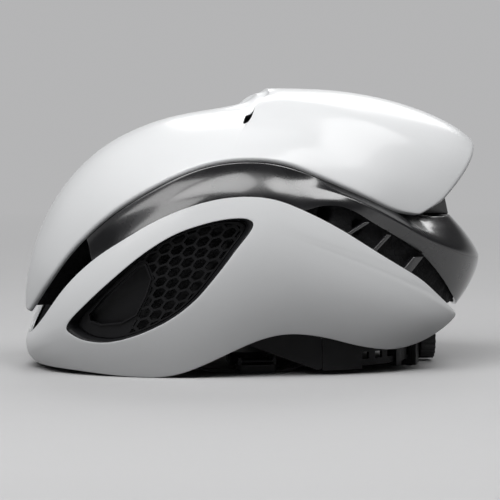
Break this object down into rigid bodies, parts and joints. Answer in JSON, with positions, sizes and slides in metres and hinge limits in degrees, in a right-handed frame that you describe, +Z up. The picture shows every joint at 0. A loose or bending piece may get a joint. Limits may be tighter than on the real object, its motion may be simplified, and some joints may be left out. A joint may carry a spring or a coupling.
{
  "type": "aero road bike helmet",
  "caption": "Smooth two-part helmet shell with a dark middle band, honeycomb side vents, foam liner, dial-tightened fit cradle and buckled chin webbing.",
  "frame": {"origin": "on the surface it rests on, under the middle of its length, in the centre plane", "axes": "+Z up, the front faces -X, +Y is the wearer's right-hand side"},
  "size_m": [0.2921, 0.1916, 0.1753],
  "materials": {
    "white_gloss": "gloss",
    "black_gloss": "gloss",
    "black_matte": "matte",
    "foam": "beaded foam",
    "pad_fabric": "knitted",
    "webbing": "woven",
    "dial_rubber": "satin",
    "steel": "satin"
  },
  "bodies": {
    "helmet": {"upper_shell": "white_gloss", "lower_shell": "white_gloss", "mid_shell": "black_gloss", "tail_strut": "black_gloss", "upper_foam": "foam", "lower_foam": "foam", "left_vent_grille": "black_matte", "right_vent_grille": "black_matte", "left_vent_fins": "black_gloss", "right_vent_fins": "black_gloss", "brow_pad": "pad_fabric", "crown_pad": "pad_fabric", "left_side_pad": "pad_fabric", "right_side_pad": "pad_fabric", "left_temple_anchor": "black_matte", "right_temple_anchor": "black_matte", "hanger_socket": "black_matte", "strap_anchors": "black_matte", "left_front_strap": "webbing", "right_front_strap": "webbing", "left_rear_strap": "webbing", "right_rear_strap": "webbing", "left_chin_strap": "webbing", "right_chin_strap": "webbing", "left_divider": "black_matte", "right_divider": "black_matte", "latch_pins": "steel", "buckle_socket": "black_matte"},
    "cradle": {"cradle_housing": "black_matte", "housing_cover": "black_matte", "cover_screws": "steel", "cradle_hanger": "black_matte", "left_temple_arm": "black_matte", "right_temple_arm": "black_matte", "cradle_pads": "pad_fabric"},
    "dial": {"fit_dial": "dial_rubber", "dial_pinion": "steel", "dial_screw": "steel"},
    "left_band": {"left_band": "black_matte"},
    "right_band": {"right_band": "black_matte"},
    "left_latch": {"left_latch": "black_matte"},
    "right_latch": {"right_latch": "black_matte"},
    "buckle_tongue": {"buckle_tongue": "black_matte"}
  },
  "joints": [
    {"name": "cradle_tilt", "type": "hinge", "parent": "helmet", "child": "cradle", "pos_m": [-0.045, 0, 0.038], "axis": [0, -1, 0], "range_deg": [0, 5]},
    {"name": "dial_turn", "type": "hinge", "parent": "cradle", "child": "dial", "pos_m": [0.105, 0, 0.013], "axis": [1, 0, 0], "range_deg": [0, 140]},
    {"name": "left_band_slide", "type": "hinge", "parent": "cradle", "child": "left_band", "pos_m": [0.031, 0, 0.013], "axis": [0, 0, 1], "range_deg": [0, 10]},
    {"name": "right_band_slide", "type": "hinge", "parent": "cradle", "child": "right_band", "pos_m": [0.031, 0, 0.013], "axis": [0, 0, -1], "range_deg": [0, 10]},
    {"name": "left_latch_flip", "type": "hinge", "parent": "helmet", "child": "left_latch", "pos_m": [-0.004, -0.0555, 0.0071], "axis": [1, 0, 0], "range_deg": [0, 80]},
    {"name": "right_latch_flip", "type": "hinge", "parent": "helmet", "child": "right_latch", "pos_m": [-0.004, 0.0555, 0.0071], "axis": [-1, 0, 0], "range_deg": [0, 80]},
    {"name": "buckle_release", "type": "slide", "parent": "helmet", "child": "buckle_tongue", "axis": [0, 1, 0], "range_m": [0, 0.014], "deforming": ["right_chin_strap"]}
  ],
  "couplings": [
    {"joint": "left_band_slide", "follows": "dial_turn", "ratio": 0.071225},
    {"joint": "right_band_slide", "follows": "dial_turn", "ratio": 0.071225}
  ]
}
